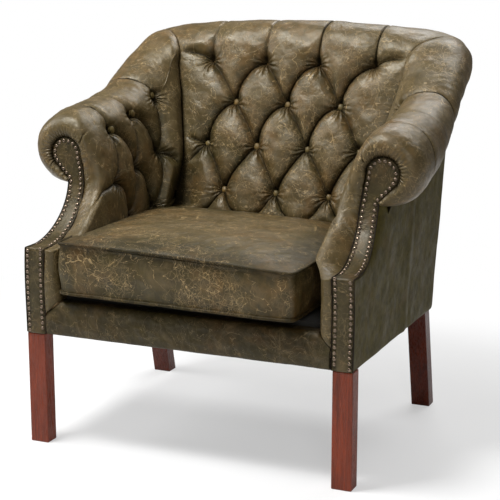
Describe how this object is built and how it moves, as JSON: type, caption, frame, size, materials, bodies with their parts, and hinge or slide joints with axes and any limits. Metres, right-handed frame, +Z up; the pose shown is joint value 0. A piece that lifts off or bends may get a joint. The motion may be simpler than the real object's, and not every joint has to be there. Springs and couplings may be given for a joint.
{
  "type": "chesterfield armchair",
  "caption": "Low armchair in aged leather with deep-buttoned inside back and arms, rolled arms sweeping up to a rolled back, nailed scroll facings, loose seat cushion and straight wooden legs.",
  "frame": {"origin": "on the floor under the middle of the chair's bounding box", "axes": "+X to the right as seen from the front, +Y from the front to the back, +Z up; the chair faces -Y"},
  "size_m": [0.88, 0.718, 0.863],
  "materials": {
    "leg_wood": "polished",
    "frame_wood": "sawn",
    "steel": "bright",
    "webbing": "woven",
    "black_cloth": "woven",
    "felt": "felted",
    "foam": "soft",
    "zip_tape": "woven",
    "antique_nails": "aged",
    "button_leather": "waxed",
    "cushion_leather": "waxed, worn",
    "panel_leather": "waxed",
    "tufted_leather": "waxed, worn"
  },
  "bodies": {
    "chair": {"front_leg_left": "leg_wood", "front_leg_right": "leg_wood", "rear_leg_left": "leg_wood", "rear_leg_right": "leg_wood", "front_rail": "frame_wood", "rear_rail": "frame_wood", "side_rail_left": "frame_wood", "side_rail_right": "frame_wood", "corner_block_front_left": "frame_wood", "corner_block_front_right": "frame_wood", "corner_block_rear_left": "frame_wood", "corner_block_rear_right": "frame_wood", "corner_block_screws": "steel", "frame_dowels": "frame_wood", "arm_stump_left": "frame_wood", "arm_stump_right": "frame_wood", "arm_top_rail_left": "frame_wood", "arm_top_rail_right": "frame_wood", "arm_tack_rail_left": "frame_wood", "arm_tack_rail_right": "frame_wood", "arm_webbing_left": "webbing", "arm_webbing_right": "webbing", "back_top_rail": "frame_wood", "back_tack_rail": "frame_wood", "back_webbing": "webbing", "seat_springs": "steel", "spring_clips": "steel", "deck_cloth": "black_cloth", "deck_pad": "felt", "front_border": "panel_leather", "inside_arm_left": "tufted_leather", "inside_arm_right": "tufted_leather", "inside_back": "tufted_leather", "outside_arm_left": "panel_leather", "outside_arm_right": "panel_leather", "outside_back": "panel_leather", "arm_facing_left": "panel_leather", "arm_facing_right": "panel_leather", "facing_nails_left": "antique_nails", "facing_nails_right": "antique_nails", "back_buttons": "button_leather", "arm_buttons_left": "button_leather", "arm_buttons_right": "button_leather", "dust_cover": "black_cloth"},
    "cushion": {"cushion_cover": "cushion_leather", "cushion_foam": "foam", "cushion_welts": "cushion_leather", "cushion_zip": "zip_tape"}
  },
  "joints": [
    {"name": "cushion_draw_out", "type": "slide", "parent": "chair", "child": "cushion", "axis": [0, -1, 0], "range_m": [0, 0.3]}
  ]
}
